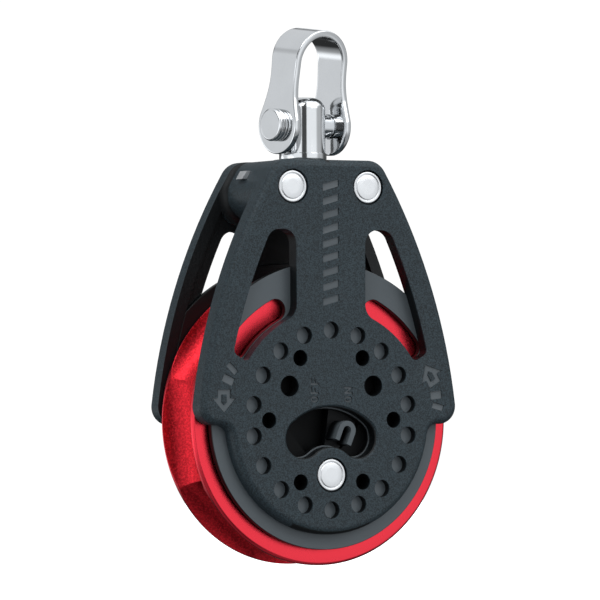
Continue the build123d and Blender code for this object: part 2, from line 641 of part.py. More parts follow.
def ratchet_switch():
    """Lever on the hub rivet: arm, cam boss and a hairpin-shaped finger grip."""
    bore = hub_rivet_circle(HUB_RIVET_RADIUS + SWITCH_BORE_PLAY)
    top = CHEEK_INNER - SWITCH_PLAY
    arm = switch_sector(SWITCH_ARM_HALF_ANGLE, SWITCH_ARM_REACH)
    arm += hub_rivet_circle(SWITCH_BOSS_RADIUS)
    grip = Circle(GRIP_RADIUS) + Pos(0, -GRIP_LEG / 2) * Rectangle(2 * GRIP_RADIUS, GRIP_LEG)
    slot = GRIP_RADIUS - GRIP_WALL
    grip -= Circle(slot) + Pos(0, -GRIP_LEG / 2) * Rectangle(2 * slot, GRIP_LEG)
    grip = Pos(0, SWITCH_RING - HUB_RIVET_DROP) * grip
    body = slab(switch_at(arm) - bore, top - SWITCH_ARM_THICKNESS, top)
    body += slab(switch_at(grip), top, HALF_WIDTH - GRIP_BELOW_FACE)
    body += slab(hub_rivet_circle(SWITCH_BOSS_RADIUS) - bore, PAWL_THICKNESS / 2, top)
    cam = switch_at(cam_profile()) - bore
    return body + slab(cam, -PAWL_THICKNESS / 2, PAWL_THICKNESS / 2)


def hub_blank():
    """Half of the fixed drum that the balls run round, on the front side."""
    holes = dowel_circles(DOWEL_RADIUS + DOWEL_PLAY)
    holes += hub_rivet_circle(HUB_RIVET_RADIUS + SHANK_PLAY)
    body = slab(Circle(HUB_RADIUS) - holes, 0, CHEEK_INNER) - races()
    cavity = Sketch() + [pawl_pocket(side) for side in PAWL_ANGLES]
    cavity += hub_rivet_circle(SWITCH_CAM_REACH + SWITCH_PLAY)
    body -= slab(cavity, 0, PAWL_CAVITY)
    for side in PAWL_ANGLES:
        body -= pawl_pin(side)
    return body


def front_hub():
    """Hub half with the switch's chamber and the springs' recesses."""
    turn = SWITCH_ON_ANGLE + SWITCH_ARM_HALF_ANGLE + SWITCH_SPARE_TURN
    chamber = switch_sector(turn, SWITCH_ARM_REACH + SWITCH_PLAY)
    chamber += hub_rivet_circle(SWITCH_BOSS_RADIUS + SWITCH_PLAY)
    body = hub_blank() - slab(chamber, SWITCH_FLOOR, CHEEK_INNER)
    body -= slab(hub_rivet_circle(SWITCH_BOSS_RADIUS + SWITCH_PLAY), 0, CHEEK_INNER)
    for angle in PAWL_ANGLES.values():
        recess = Pos(*at_angle(PAWL_CIRCLE, angle)) * Circle(SPRING_RADIUS + SPRING_WIRE)
        body -= slab(recess, 0, SPRING_RECESS)
    return body


def rear_hub():
    return mirror(hub_blank(), about=Plane.XZ)


# ---------------------------------------------------------------- fasteners
def rivet(x, z, radius):
    """Through rivet with a low domed head in each cheek's counterbore."""
    face = HALF_WIDTH - RIVET_SINK
    seat = face - RIVET_HEAD_HEIGHT
    brim = face - RIVET_DOME
    dome_edge = RIVET_HEAD_RADIUS - RIVET_BRIM
    corner = RIVET_HEAD_RADIUS - RIVET_DOME
    above = [(radius, seat), (RIVET_HEAD_RADIUS, seat), (RIVET_HEAD_RADIUS, brim - RIVET_DOME)]
    above += [(corner, brim), (dome_edge, brim), (dome_edge - RIVET_DOME, face), (0, face)]
    below = [(across, -up) for across, up in reversed(above)]
    return Pos(x, 0, z) * revolve(Polygon(*below, *above, align=None), Axis.Y)


def head_rivets():
    places = (-HEAD_RIVET_REACH, HEAD_RIVET_REACH)
    return [rivet(x, HEAD_RIVET_HEIGHT, HEAD_RIVET_RADIUS) for x in places]


def hub_dowels():
    """Two plain pins that keep the hub from turning."""
    reach = HALF_WIDTH - DOWEL_RECESS
    return slab(dowel_circles(DOWEL_RADIUS), -reach, reach).solids()


# ---------------------------------------------------------------- swivel post
def head_post():
    """Turned post: flange and shank in the head, collar and cross-bored eye above it."""
    flange_top = POST_FLANGE_FLOOR + POST_FLANGE_HEIGHT
    collar = HEAD_TOP + POST_COLLAR_GAP
    body = rod(POST_FLANGE_RADIUS, POST_FLANGE_FLOOR, flange_top)
    body += rod(POST_SHANK_RADIUS, flange_top, collar)
    ring = rod(POST_COLLAR_RADIUS, collar, collar + POST_COLLAR_HEIGHT)
    body += chamfer(ring.edges(), POST_COLLAR_CHAMFER)
    eye = rod(POST_RADIUS, collar + POST_COLLAR_HEIGHT, POST_TOP)
    body += fillet(eye.edges().group_by(Axis.Z)[-1], POST_CROWN)
    body -= Pos(0, 0, PIN_HEIGHT) * Rot(0, 90, 0) * Cylinder(PIN_RADIUS + PIN_PLAY, FAR)
    return Rot(0, 0, SWIVEL_ANGLE) * body


def thrust_washer():
    """Slippery ring between the post's flange and the head."""
    low = POST_FLANGE_FLOOR + POST_FLANGE_HEIGHT + WASHER_PLAY
    ring = rod(POST_FLANGE_RADIUS, low, HEAD_BEARING)
    return ring - rod(POST_SHANK_RADIUS + POST_PLAY, low, HEAD_BEARING)


def swivel_lock_clip(outline):
    """Bar parked in the head's slot, its outer end flush with the head's side."""
    inside = slab(outline, -HALF_WIDTH, HALF_WIDTH)
    return clip_bar(0) & inside


# ---------------------------------------------------------------- shackle
def shackle_side():
    """The bent strap seen along its width: two legs and a round bow."""
    spring = SHACKLE_RISE - SHACKLE_BOW_RADIUS
    foot = -SHACKLE_EYE_RADIUS - 1

    def bow(inset):
        wide = SHACKLE_HALF_WIDTH - inset
        narrow = SHACKLE_BOW_RADIUS - inset
        right = Polyline((wide, foot), (wide, 0), (narrow, spring))
        left = Polyline((-narrow, spring), (-wide, 0), (-wide, foot))
        arch = ThreePointArc((narrow, spring), (0, spring + narrow), (-narrow, spring))
        base = Line((-wide, foot), (wide, foot))
        return make_face([*right.edges(), arch, *left.edges(), base])

    return bow(0) - bow(SHACKLE_THICKNESS)


def shackle_front():
    """The strap's width: round eyes, a waist and a wider bow."""
    eye_side = at_angle(SHACKLE_EYE_RADIUS, SHACKLE_EYE_TURN)
    leave = (-eye_side[1], eye_side[0])
    waist = (SHACKLE_WAIST, SHACKLE_WAIST_HEIGHT)
    bow = (SHACKLE_BOW_HALF_WIDTH, SHACKLE_RISE + 1)
    flank = Spline(eye_side, waist, bow, tangents=[leave, (0, 1)])
    top = Line(bow, (-bow[0], bow[1]))
    across = Line((-eye_side[0], eye_side[1]), eye_side)
    strap = make_face([across, flank, top, mirror(flank, about=Plane.YZ)])
    return strap + Circle(SHACKLE_EYE_RADIUS)


def as_worn(shape):
    """Moves a shackle piece from its own frame to where it hangs on the post."""
    place = Pos(0, 0, PIN_HEIGHT) * Rot(0, 0, SWIVEL_ANGLE) * Rot(SHACKLE_LEAN, 0, 0)
    return place * Pos(SHACKLE_SIDE_PLAY, 0, 0) * shape


def shackle_strap():
    side = extrude(Plane.XZ * shackle_side(), amount=SHACKLE_EYE_RADIUS + 1, both=True)
    front = extrude(Plane.YZ * shackle_front(), amount=SHACKLE_HALF_WIDTH + 1, both=True)
    body = side & front
    body -= Rot(0, 90, 0) * Cylinder(PIN_RADIUS + PIN_PLAY, FAR)
    return as_worn(body)


def shackle_pin():
    """Pin with a flat grooved head outside one leg and its end in the other."""
    inner = -SHACKLE_HALF_WIDTH
    face = inner - PIN_HEAD_HEIGHT
    end = SHACKLE_HALF_WIDTH + PIN_TAIL
    groove = face + PIN_HEAD_HEIGHT / 2
    wide = PIN_HEAD_RADIUS
    points = [(face, 0), (face, wide - PIN_HEAD_BEVEL), (face + PIN_HEAD_BEVEL, wide)]
    points += [(groove, wide), (groove, wide - PIN_HEAD_GROOVE)]
    points += [(groove + PIN_HEAD_GROOVE, wide), (inner, wide), (inner, PIN_RADIUS)]
    points += [(end - PIN_END_BEVEL, PIN_RADIUS), (end, PIN_RADIUS - PIN_END_BEVEL), (end, 0)]
    return as_worn(revolve(Polygon(*points, align=None), Axis.X))


# ---------------------------------------------------------------- build and write
def mirrored(pieces):
    return [mirror(piece, about=Plane.XZ) for piece in pieces]


def build():
    """Every node of the block by name."""
    outline = shell_outline()
    front_balls = ball_row()
    nodes = {
        "front_cheek": front_cheek(outline),
        "rear_cheek": rear_cheek(outline),
        "front_guard": front_guard(outline),
        "rear_guard": mirror(guard(outline), about=Plane.XZ),
        "sheave": sheave(),
        "ratchet_ring": ratchet_ring(),
        "front_balls": Compound(children=front_balls),
        "rear_balls": Compound(children=mirrored(front_balls)),
        "front_ball_cage": ball_cage(),
        "rear_ball_cage": mirror(ball_cage(), about=Plane.XZ),
        "front_hub": front_hub(),
        "rear_hub": rear_hub(),
        "ratchet_switch": ratchet_switch(),
        "hub_rivet": rivet(0, -HUB_RIVET_DROP, HUB_RIVET_RADIUS),
        "head_rivets": Compound(children=head_rivets()),
        "hub_dowels": Compound(children=hub_dowels()),
        "head_post": head_post(),
        "thrust_washer": thrust_washer(),
        "swivel_lock_clip": swivel_lock_clip(outline),
        "shackle_strap": shackle_strap(),
        "shackle_pin": shackle_pin(),
    }
    for side in PAWL_ANGLES:
        nodes[f"{side}_pawl"] = pawl(side)
        nodes[f"{side}_pawl_pin"] = pawl_pin(side)
        nodes[f"{side}_pawl_spring"] = pawl_spring(side)
    return nodes


os.makedirs("parts", exist_ok=True)
for name, shape in build().items():
    export_step(shape, f"parts/{name}.step")
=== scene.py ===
import math

import bpy
import bmesh
from bpy.props import FloatProperty, FloatVectorProperty, IntProperty, PointerProperty
from mathutils import Matrix, Vector


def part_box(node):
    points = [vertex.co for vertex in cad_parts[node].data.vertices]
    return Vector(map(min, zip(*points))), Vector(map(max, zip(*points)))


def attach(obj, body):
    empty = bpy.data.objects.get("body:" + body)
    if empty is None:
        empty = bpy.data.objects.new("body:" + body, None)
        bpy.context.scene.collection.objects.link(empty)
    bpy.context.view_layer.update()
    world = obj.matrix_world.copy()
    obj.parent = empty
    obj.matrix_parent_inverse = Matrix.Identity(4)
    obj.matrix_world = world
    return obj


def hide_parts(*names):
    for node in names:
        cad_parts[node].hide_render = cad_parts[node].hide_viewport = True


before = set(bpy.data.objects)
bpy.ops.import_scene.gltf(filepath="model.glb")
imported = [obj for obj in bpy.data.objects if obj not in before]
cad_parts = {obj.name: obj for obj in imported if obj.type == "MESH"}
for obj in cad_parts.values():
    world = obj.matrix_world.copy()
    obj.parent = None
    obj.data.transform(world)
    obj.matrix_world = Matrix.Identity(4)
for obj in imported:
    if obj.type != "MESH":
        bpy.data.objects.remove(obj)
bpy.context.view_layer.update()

bl_info = {
    "name": "Ratchet Block",
    "version": (1, 0, 0),
    "blender": (4, 5, 0),
    "location": "3D View > Sidebar > Block",
    "description": "Finishes a swivelling ratchet block: shell, wheel, switch and shackle",
    "category": "Object",
}

MM = 0.001
HALF_WIDTH = -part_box("front_cheek")[0].y / MM
MARK_DEPTH = 0.25               # sunk marks of the cheeks
DRAIN_DEPTH = 1.7               # blind drain holes of the cheeks
CRISP_ANGLE = 38                # degrees; sharper edges of a CAD node are rounded over
FLAT_ANGLE = 0.5                # degrees; flatter edges of a CAD node are dissolved
EDGE_BAND = 0.32                # depth of the cheek's edge that keeps the outer finish; deeper walls get painted shade
HEEL = (8.7, 38)                # half width and top of the zone under the head whose walls get painted shade, black
HOLE_ZONE = 19.55               # walls nearer the axle than this get painted shade, black
MARK_FACE = 10.7                # sunk marks lie further out than this
WHEEL_BORE = 19.4
FACET_TURN = 5.4                # degrees from the X axis to the first flat
SHACKLE_HEIGHT = 58.1           # the pin's axis above the axle
SHACKLE_LEAN = 7.0              # degrees
SWIVEL = math.radians(10.5)     # how far the post is swivelled
WHEEL_TURN = Matrix.Rotation(math.radians(90), 4, "X")      # turned about Z, then laid on the axle
RIVET_PLACES = {
    "hub_rivet": (2.2, ((0.0, -10.74),)),
    "head_rivets": (1.5, ((-8.45, 45.66), (8.45, 45.66))),
}


# ------------------------------------------------------------------ node trees
class Num:
    """A number in a node tree; sums and products on it add Math nodes."""

    def __init__(self, kit, socket):
        self.kit = kit
        self.socket = socket

    def _do(self, operation, first, second):
        return self.kit.get("ShaderNodeMath", {"operation": operation}, {0: first, 1: second})

    def __add__(self, other):
        return self._do("ADD", self, other)

    def __radd__(self, other):
        return self._do("ADD", other, self)

    def __sub__(self, other):
        return self._do("SUBTRACT", self, other)

    def __rsub__(self, other):
        return self._do("SUBTRACT", other, self)

    def __mul__(self, other):
        return self._do("MULTIPLY", self, other)

    def __rmul__(self, other):
        return self._do("MULTIPLY", other, self)

    def __truediv__(self, other):
        return self._do("DIVIDE", self, other)

    def __rtruediv__(self, other):
        return self._do("DIVIDE", other, self)

    def __pow__(self, other):
        return self._do("POWER", self, other)

    def __lt__(self, other):
        return self._do("LESS_THAN", self, other)

    def __gt__(self, other):
        return self._do("GREATER_THAN", self, other)

    def __mod__(self, other):
        return self._do("FLOORED_MODULO", self, other)

    def __abs__(self):
        return self._do("ABSOLUTE", self, 0.0)


class Kit:
    """Adds nodes to one tree."""

    def __init__(self, tree):
        self.tree = tree

    def add(self, kind, settings=None, sockets=None):
        """A node, with its settings first and then its sockets' values or links."""
        node = self.tree.nodes.new(kind)
        for name, value in (settings or {}).items():
            setattr(node, name, value)
        for key, value in (sockets or {}).items():
            if isinstance(value, Num):
                self.tree.links.new(value.socket, node.inputs[key])
            else:
                node.inputs[key].default_value = value
        return node

    def get(self, kind, settings=None, sockets=None, out=0):
        return Num(self, self.add(kind, settings, sockets).outputs[out])

    def math(self, operation, first, second=0.0):
        return self.get("ShaderNodeMath", {"operation": operation}, {0: first, 1: second})

    def clip(self, value, low, high):
        """value from low to high, as 0 to 1 with soft ends."""
        return self.get(
            "ShaderNodeMapRange",
            {"interpolation_type": "SMOOTHSTEP"},
            {"Value": value, "From Min": low, "From Max": high},
        )

    def noise(self, place, size, detail=2.0, rough=0.5):
        """Noise with features of about the given size in millimetres."""
        sockets = {"Vector": place, "Scale": 1 / (size * MM), "Detail": detail, "Roughness": rough}
        return self.get("ShaderNodeTexNoise", {}, sockets)

    def mix(self, share, first, second):
        sockets = {0: share, 6: first, 7: second}
        return self.get("ShaderNodeMix", {"data_type": "RGBA"}, sockets, 2)

    def axis(self, place, name):
        return self.get("ShaderNodeSeparateXYZ", {}, {0: place}, name)


def tint(colour, share):
    """A colour made lighter or darker, with full alpha."""
    return (*(min(1.0, part * share) for part in colour), 1.0)


def new_finish(name):
    """An empty material with its kit, shader and object coordinates."""
    material = bpy.data.materials.new(name)
    material.use_nodes = True
    material.node_tree.nodes.clear()
    kit = Kit(material.node_tree)
    shader = kit.add("ShaderNodeBsdfPrincipled")
    surface = Num(kit, shader.outputs[0])
    kit.add("ShaderNodeOutputMaterial", {}, {"Surface": surface})
    place = kit.get("ShaderNodeTexCoord", {}, {}, "Object")
    return material, kit, shader, place


def feed(kit, shader, sockets):
    """Links or sets the shader's sockets."""
    for key, value in sockets.items():
        if isinstance(value, Num):
            kit.tree.links.new(value.socket, shader.inputs[key])
        else:
            shader.inputs[key].default_value = value


def bump(kit, height, depth):
    """Surface relief of the given depth in millimetres."""
    return kit.get("ShaderNodeBump", {}, {"Height": height, "Strength": 1.0, "Distance": depth * MM})


def guard_nylon(name, colour):
    """Smooth grey nylon plate with painted shade: its edges and inner face are painted near black."""
    material, kit, shader, place = new_finish(name)
    facing = kit.get("ShaderNodeTexCoord", {}, {}, "Normal")
    outer = kit.axis(facing, "Y") * kit.math("SIGN", kit.axis(place, "Y"))
    # painted shade: only outward faces keep the grey, all other faces get a near-black tint
    unshaded_face = kit.clip(outer, 0.8, 0.97)
    clouds = kit.noise(place, 9.0, 3.0, 0.55)
    fine = kit.noise(place, 0.3, 2.0, 0.5)
    grey = kit.mix(clouds, tint(colour, 0.9), tint(colour, 1.1))
    feed(kit, shader, {
        "Base Color": kit.mix(unshaded_face, tint(colour, 0.06), grey),
        "Roughness": 0.38 + (clouds - 0.5) * 0.16 + (fine - 0.5) * 0.1,
        "Normal": bump(kit, fine, 0.004),
        "Specular IOR Level": 0.3,
    })
    return material


def shell_nylon(name, colour, smooth, grain):
    """Cheek nylon: spark-eroded grain, smooth floors in marks and drains, and painted shade: the inner
    face and the deep walls of holes and windows are painted near black.
    """
    material, kit, shader, place = new_finish(name)
    facing = kit.get("ShaderNodeTexCoord", {}, {}, "Normal")
    level = abs(kit.axis(facing, "Y")) > 0.95
    depth = (HALF_WIDTH - abs(kit.axis(place, "Y")) / MM) * level
    sunk = (depth > MARK_DEPTH - 0.04) * (depth < MARK_DEPTH + 0.04)
    drain = (depth > DRAIN_DEPTH - 0.1) * (depth < DRAIN_DEPTH + 0.1)
    plain = sunk + drain
    across = kit.get("ShaderNodeVectorMath", {"operation": "MULTIPLY"}, {0: place, 1: (1000, 0, 1000)})
    radius = kit.get("ShaderNodeVectorMath", {"operation": "LENGTH"}, {0: across}, "Value")
    # painted shade: bore marks the deep walls of holes and windows, inner marks the inner face; both are
    # painted near black below
    below = HALF_WIDTH - abs(kit.axis(place, "Y")) / MM > EDGE_BAND
    wall = below * (abs(kit.axis(facing, "Y")) < 0.8)
    reach = abs(kit.axis(place, "X")) / MM
    heel = (reach < HEEL[0]) * (kit.axis(place, "Z") < HEEL[1] * MM)
    pane = (kit.axis(facing, "X") * kit.axis(place, "X") < 0) + heel + (radius < HOLE_ZONE)
    bore = wall * kit.math("MINIMUM", pane, 1.0)
    inner = (kit.axis(facing, "Y") * kit.axis(place, "Y") < 0) * (abs(kit.axis(facing, "Y")) > 0.2)
    pits = kit.noise(place, grain, 2.0, 0.6)
    fine = kit.noise(place, grain * 0.4, 2.0, 0.5)
    clouds = kit.noise(place, 9.0, 3.0, 0.55)
    height = pits * 0.7 + fine * 0.3
    shade = kit.clip(height, 0.38, 0.62) * 0.8 + clouds * 0.2
    rough = kit.mix(shade, tint(colour, 0.3), tint(colour, 1.8))
    floor = kit.mix(drain, tint(smooth, 0.95), tint(smooth, 1.5))
    wear = 0.52 + (clouds - 0.5) * 0.18 + (fine - 0.5) * 0.12
    feed(kit, shader, {
        "Base Color": kit.mix(
            kit.math("MAXIMUM", inner, bore), kit.mix(plain, rough, floor), tint(colour, 0.12)),
        "Roughness": wear - 0.16 * plain,
        "Normal": bump(kit, height * (1 - plain * 0.92), 0.06),
        "Specular IOR Level": 0.32,
    })
    return material


def lever_nylon(name, colour):
    """Grey lever nylon with painted shade: everything deeper than the raised grip is painted near black.
    """
    material, kit, shader, place = new_finish(name)
    clouds = kit.noise(place, 2.0, 3.0, 0.5)
    fine = kit.noise(place, 0.3, 2.0, 0.5)
    # painted shade: the lever keeps its grey only on the raised grip; deeper parts are painted near
    # black
    raised = kit.clip(abs(kit.axis(place, "Y")) / MM, 8.2, 10.2)
    lever_grey = kit.mix(clouds, tint(colour, 0.85), tint(colour, 1.15))
    feed(kit, shader, {
        "Base Color": kit.mix(raised, (0.004, 0.005, 0.006, 1.0), lever_grey),
        "Roughness": 0.46 - raised * 0.1 + (clouds - 0.5) * 0.12,
        "Normal": bump(kit, fine, 0.004),
        "Specular IOR Level": 0.2,
    })
    return material


def red_anodise(name, colour):
    """Hard-anodised aluminium: blasted in the groove, turned on the sides; the sides and rim are painted
    a paler, whiter red as a painted sheen.
    """
    material, kit, shader, place = new_finish(name)
    radius = kit.get(
        "ShaderNodeVectorMath",
        {"operation": "LENGTH"},
        {0: kit.get("ShaderNodeVectorMath", {"operation": "MULTIPLY"}, {0: place, 1: (1, 0, 1)})},
        "Value",
    )
    tread = kit.get("ShaderNodeAttribute", {"attribute_name": "tread"}, {}, "Fac")
    pits = kit.noise(place, 0.42, 2.0, 0.65)
    fine = kit.noise(place, 0.2, 2.0, 0.5)
    clouds = kit.noise(place, 6.0, 3.0, 0.5)
    blast = pits * 0.65 + fine * 0.35
    rings = kit.math("SINE", radius * (2 * math.pi / (0.16 * MM)))
    turned = rings * 0.5 + 0.5 + clouds * 0.6
    height = blast * tread * 6.0 + turned * (1 - tread) * 0.35
    speck = kit.clip(blast, 0.38, 0.66)
    shade = tread * (speck * 0.8 + clouds * 0.2) + (1 - tread) * (0.55 + clouds * 0.25)
    # painted sheen: the turned sides and rim land get a paler, whiter red
    pale = (min(1.0, colour[0] * 1.15), colour[1] * 1.7, colour[2] * 1.7)
    grainy = kit.mix(shade, tint(colour, 0.5), tint(colour, 1.15))
    base = kit.mix(tread, kit.mix(shade, tint(pale, 0.75), tint(pale, 1.08)), grainy)
    rough = tread * (0.38 + (pits - 0.5) * 0.2) + (1 - tread) * (0.27 + (clouds - 0.5) * 0.14)
    feed(kit, shader, {
        "Base Color": base,
        "Metallic": 1.0,
        "Roughness": rough,
        "Normal": bump(kit, height, 0.012),
    })
    return material


def polished_steel(name, colour, rough, streak):
    """Polished stainless steel with faint polishing lines and hairline scratches."""
    material, kit, shader, place = new_finish(name)
    stretched = kit.get(
        "ShaderNodeVectorMath", {"operation": "MULTIPLY"}, {0: place, 1: streak}
    )
    lines = kit.noise(stretched, 1.2, 3.0, 0.6)
    haze = kit.noise(place, 5.0, 3.0, 0.6)
    hair = kit.noise(stretched, 0.35, 2.0, 0.5)
    base = kit.mix(haze, tint(colour, 0.93), tint(colour, 1.05))
    feed(kit, shader, {
        "Base Color": base,
        "Metallic": 1.0,
        "Roughness": rough + (lines - 0.5) * rough * 0.9 + (haze - 0.5) * rough * 0.8,
        "Normal": bump(kit, lines * 0.7 + hair * 0.3, 0.0012),
    })
    return material


def plain_acetal(name, colour, rough, shine):
    """Smooth engineering plastic with slight tone and gloss changes."""
    material, kit, shader, place = new_finish(name)
    clouds = kit.noise(place, 3.0, 3.0, 0.6)
    fine = kit.noise(place, 0.3, 2.0, 0.5)
    base = kit.mix(clouds, tint(colour, 0.85), tint(colour, 1.12))
    feed(kit, shader, {
        "Base Color": base,
        "Roughness": rough + (clouds - 0.5) * 0.15 + (fine - 0.5) * 0.08,
        "Normal": bump(kit, fine, 0.002),
        "Specular IOR Level": shine,
    })
    return material


FINISHES = {}


def finish(name):
    """The named finish, made once from the chosen colours."""
    if name in FINISHES:
        return FINISHES[name]
    look = bpy.context.scene.block_finish
    makers = {
        "shell": lambda: shell_nylon("shell_nylon", look.shell, look.guard, look.grain / MM),
        "guard": lambda: guard_nylon("guard_nylon", look.guard),
        "switch": lambda: lever_nylon("switch_nylon", look.guard),
        "red": lambda: red_anodise("red_anodise", look.wheel),
        "polished": lambda: polished_steel("polished_steel", look.steel, 0.085, (1, 1, 0.12)),
        "satin": lambda: polished_steel("satin_steel", look.steel, 0.3, (0.12, 0.3, 0.12)),
        "hard": lambda: polished_steel("hard_steel", look.steel, 0.34, (1, 0.2, 1)),
        "black": lambda: plain_acetal("black_acetal", (0.004, 0.0045, 0.005), 0.5, 0.1),
        "white": lambda: plain_acetal("white_acetal", (0.8, 0.79, 0.74), 0.3, 0.5),
    }
    FINISHES[name] = makers[name]()
    return FINISHES[name]


# ------------------------------------------------------------------ mesh helpers
def settle(name, mesh, body, slot, *nodes):
    """Adds a finished mesh to the scene in place of CAD nodes, riding on a body."""
    piece = bpy.data.objects.new(name, mesh)
    bpy.context.scene.collection.objects.link(piece)
    if nodes:
        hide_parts(*nodes)
    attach(piece, body)
    return piece


def plain_mesh(piece, name):
    """The evaluated mesh of a helper object, which is then removed."""
    depsgraph = bpy.context.evaluated_depsgraph_get()
    mesh = bpy.data.meshes.new_from_object(piece.evaluated_get(depsgraph))
    mesh.name = name
    bpy.data.objects.remove(piece)
    return mesh


def finish_mesh(mesh, angle):
    """Smooth shading with edges sharper than the angle kept crisp."""
    for face in mesh.polygons:
        face.use_smooth = True
    mesh.set_sharp_from_angle(angle=math.radians(angle))


def softened(node, name, width, segments, material, keep):
    """A merged copy of a CAD node with its hard edges rounded over."""
    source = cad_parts[node].data
    grown = bmesh.new()
    grown.from_mesh(source)
    bmesh.ops.remove_doubles(grown, verts=grown.verts, dist=1e-6)
    bmesh.ops.dissolve_limit(
        grown, angle_limit=math.radians(FLAT_ANGLE), verts=grown.verts, edges=grown.edges
    )
    weight = grown.edges.layers.float.new("bevel_weight_edge")
    for edge in grown.edges:
        crisp = len(edge.link_faces) == 2 and edge.calc_face_angle(0) > math.radians(CRISP_ANGLE)
        edge[weight] = 1.0 if crisp and not keep(edge) else 0.0
    mesh = bpy.data.meshes.new(name)
    grown.to_mesh(mesh)
    grown.free()
    finish_mesh(mesh, CRISP_ANGLE)
    helper = bpy.data.objects.new(f"{name}_blank", mesh)
    bpy.context.scene.collection.objects.link(helper)
    bevel = helper.modifiers.new("edges", "BEVEL")
    bevel.width = width * MM
    bevel.segments = segments
    bevel.limit_method = "WEIGHT"
    bevel.miter_outer = "MITER_ARC"
    level = helper.modifiers.new("normals", "WEIGHTED_NORMAL")
    level.keep_sharp = True
    level.mode = "FACE_AREA"
    made = plain_mesh(helper, name)
    made.materials.clear()
    made.materials.append(material)
    return made


def nothing(edge):
    """No edge keeps its crisp corner."""
    return False


def shallow(edge):
    """Edges of the sunk marks and pen strokes stay crisp."""
    depth = max(abs(vert.co.y) for vert in edge.verts) / MM
    middle = (edge.verts[0].co + edge.verts[1].co) / 2 / MM
    radius = math.hypot(middle.x, middle.z)
    column = abs(middle.x) < 2.4 and middle.z > 22.5
    label = abs(middle.x) < 5.5 and 3.6 < middle.z < 9.0
    arrow = 21.5 < radius < 28.0 and 0.5 < middle.z < 12.3 and abs(middle.x) > 19.5
    return depth > MARK_FACE and (column or label or arrow)


def rounded(corners, radius, steps=3):
    """A profile of (radius, height) points with its inner corners rounded."""
    points = [corners[0]]
    for before, corner, after in zip(corners, corners[1:], corners[2:]):
        here = Vector(corner)
        back = Vector(before) - here
        ahead = Vector(after) - here
        reach = min(radius, back.length * 0.45, ahead.length * 0.45)
        start = here + back.normalized() * reach
        end = here + ahead.normalized() * reach
        for step in range(steps + 1):
            t = step / steps
            points.append(tuple(start * (1 - t) ** 2 + here * (2 * t * (1 - t)) + end * t**2))
    points.append(corners[-1])
    return points


def new_tree(name, inputs):
    """A geometry tree with named inputs, its kit and its group input node."""
    tree = bpy.data.node_groups.new(name, "GeometryNodeTree")
    tree.interface.new_socket("Geometry", in_out="INPUT", socket_type="NodeSocketGeometry")
    tree.interface.new_socket("Geometry", in_out="OUTPUT", socket_type="NodeSocketGeometry")
    for label, kind, value in inputs:
        socket = tree.interface.new_socket(label, in_out="INPUT", socket_type=kind)
        if value is not None:
            socket.default_value = value
    kit = Kit(tree)
    given = kit.add("NodeGroupInput")
    return tree, kit, {socket.name: Num(kit, socket) for socket in given.outputs if socket.name}


def close_tree(kit, shape, material):
    """Ends a tree in Realize Instances and Set Material."""
    solid = kit.get("GeometryNodeRealizeInstances", {}, {0: shape})
    painted = kit.get("GeometryNodeSetMaterial", {}, {"Geometry": solid, "Material": material})
    kit.add("NodeGroupOutput", {}, {0: painted})


def run_tree(tree, base, values, name):
    """Runs a tree on a helper made from a base mesh, and returns the plain mesh."""
    helper = bpy.data.objects.new(f"{name}_blank", base)
    bpy.context.scene.collection.objects.link(helper)
    modifier = helper.modifiers.new(tree.name, "NODES")
    modifier.node_group = tree
    items = tree.interface.items_tree
    sockets = {item.name: item.identifier for item in items if item.in_out == "INPUT"}
    for label, value in values.items():
        modifier[sockets[label]] = value
    return plain_mesh(helper, name)


def profile_mesh(points, name):
    """Profile points as loose vertices: x is the radius, y the height, in metres."""
    mesh = bpy.data.meshes.new(name)
    mesh.from_pydata([(radius * MM, height * MM, 0.0) for radius, height in points], [], [])
    return mesh


TURNED_INPUTS = (
    ("Columns", "NodeSocketInt", 96),
    ("Facets", "NodeSocketInt", 8),
    ("First Facet", "NodeSocketFloat", 0.0),
    ("Groove Radius", "NodeSocketFloat", 0.0),
    ("Groove Reach", "NodeSocketFloat", 0.0),
    ("Rim Radius", "NodeSocketFloat", 0.0),
    ("Material", "NodeSocketMaterial", None),
)


